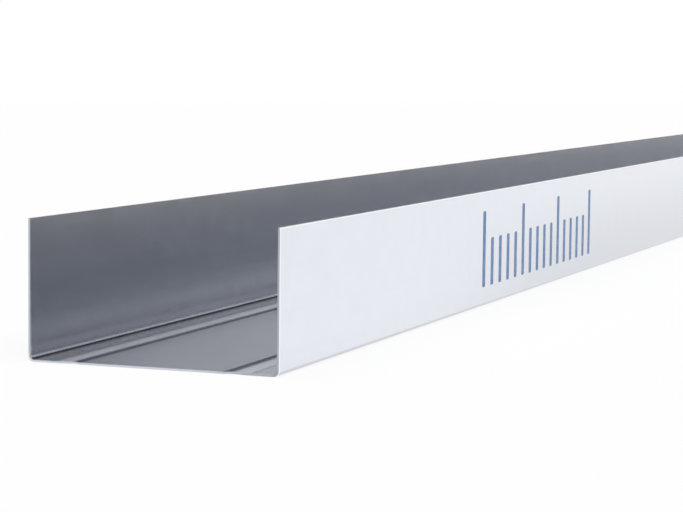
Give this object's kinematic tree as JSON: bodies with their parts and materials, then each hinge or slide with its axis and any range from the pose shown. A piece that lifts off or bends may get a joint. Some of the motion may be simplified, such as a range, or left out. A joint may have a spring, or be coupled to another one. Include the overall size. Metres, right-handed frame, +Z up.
{
  "type": "drywall track",
  "caption": "Long U-shaped galvanised sheet steel track for drywall studs, with a wide web, two plain flanges and shallow lengthwise beads in the web.",
  "frame": {"origin": "on the underside of the web, midway along the track's length and midway between its flanges", "axes": "+Y along the track's length, +Z up out of the open channel, +X from one flange to the other"},
  "size_m": [0.075, 3, 0.04],
  "materials": {
    "galvanised_steel": "smooth zinc-coated sheet, dull satin, with a fine grain along its length"
  },
  "bodies": {
    "root": {"track_channel": "galvanised_steel"}
  },
  "joints": []
}
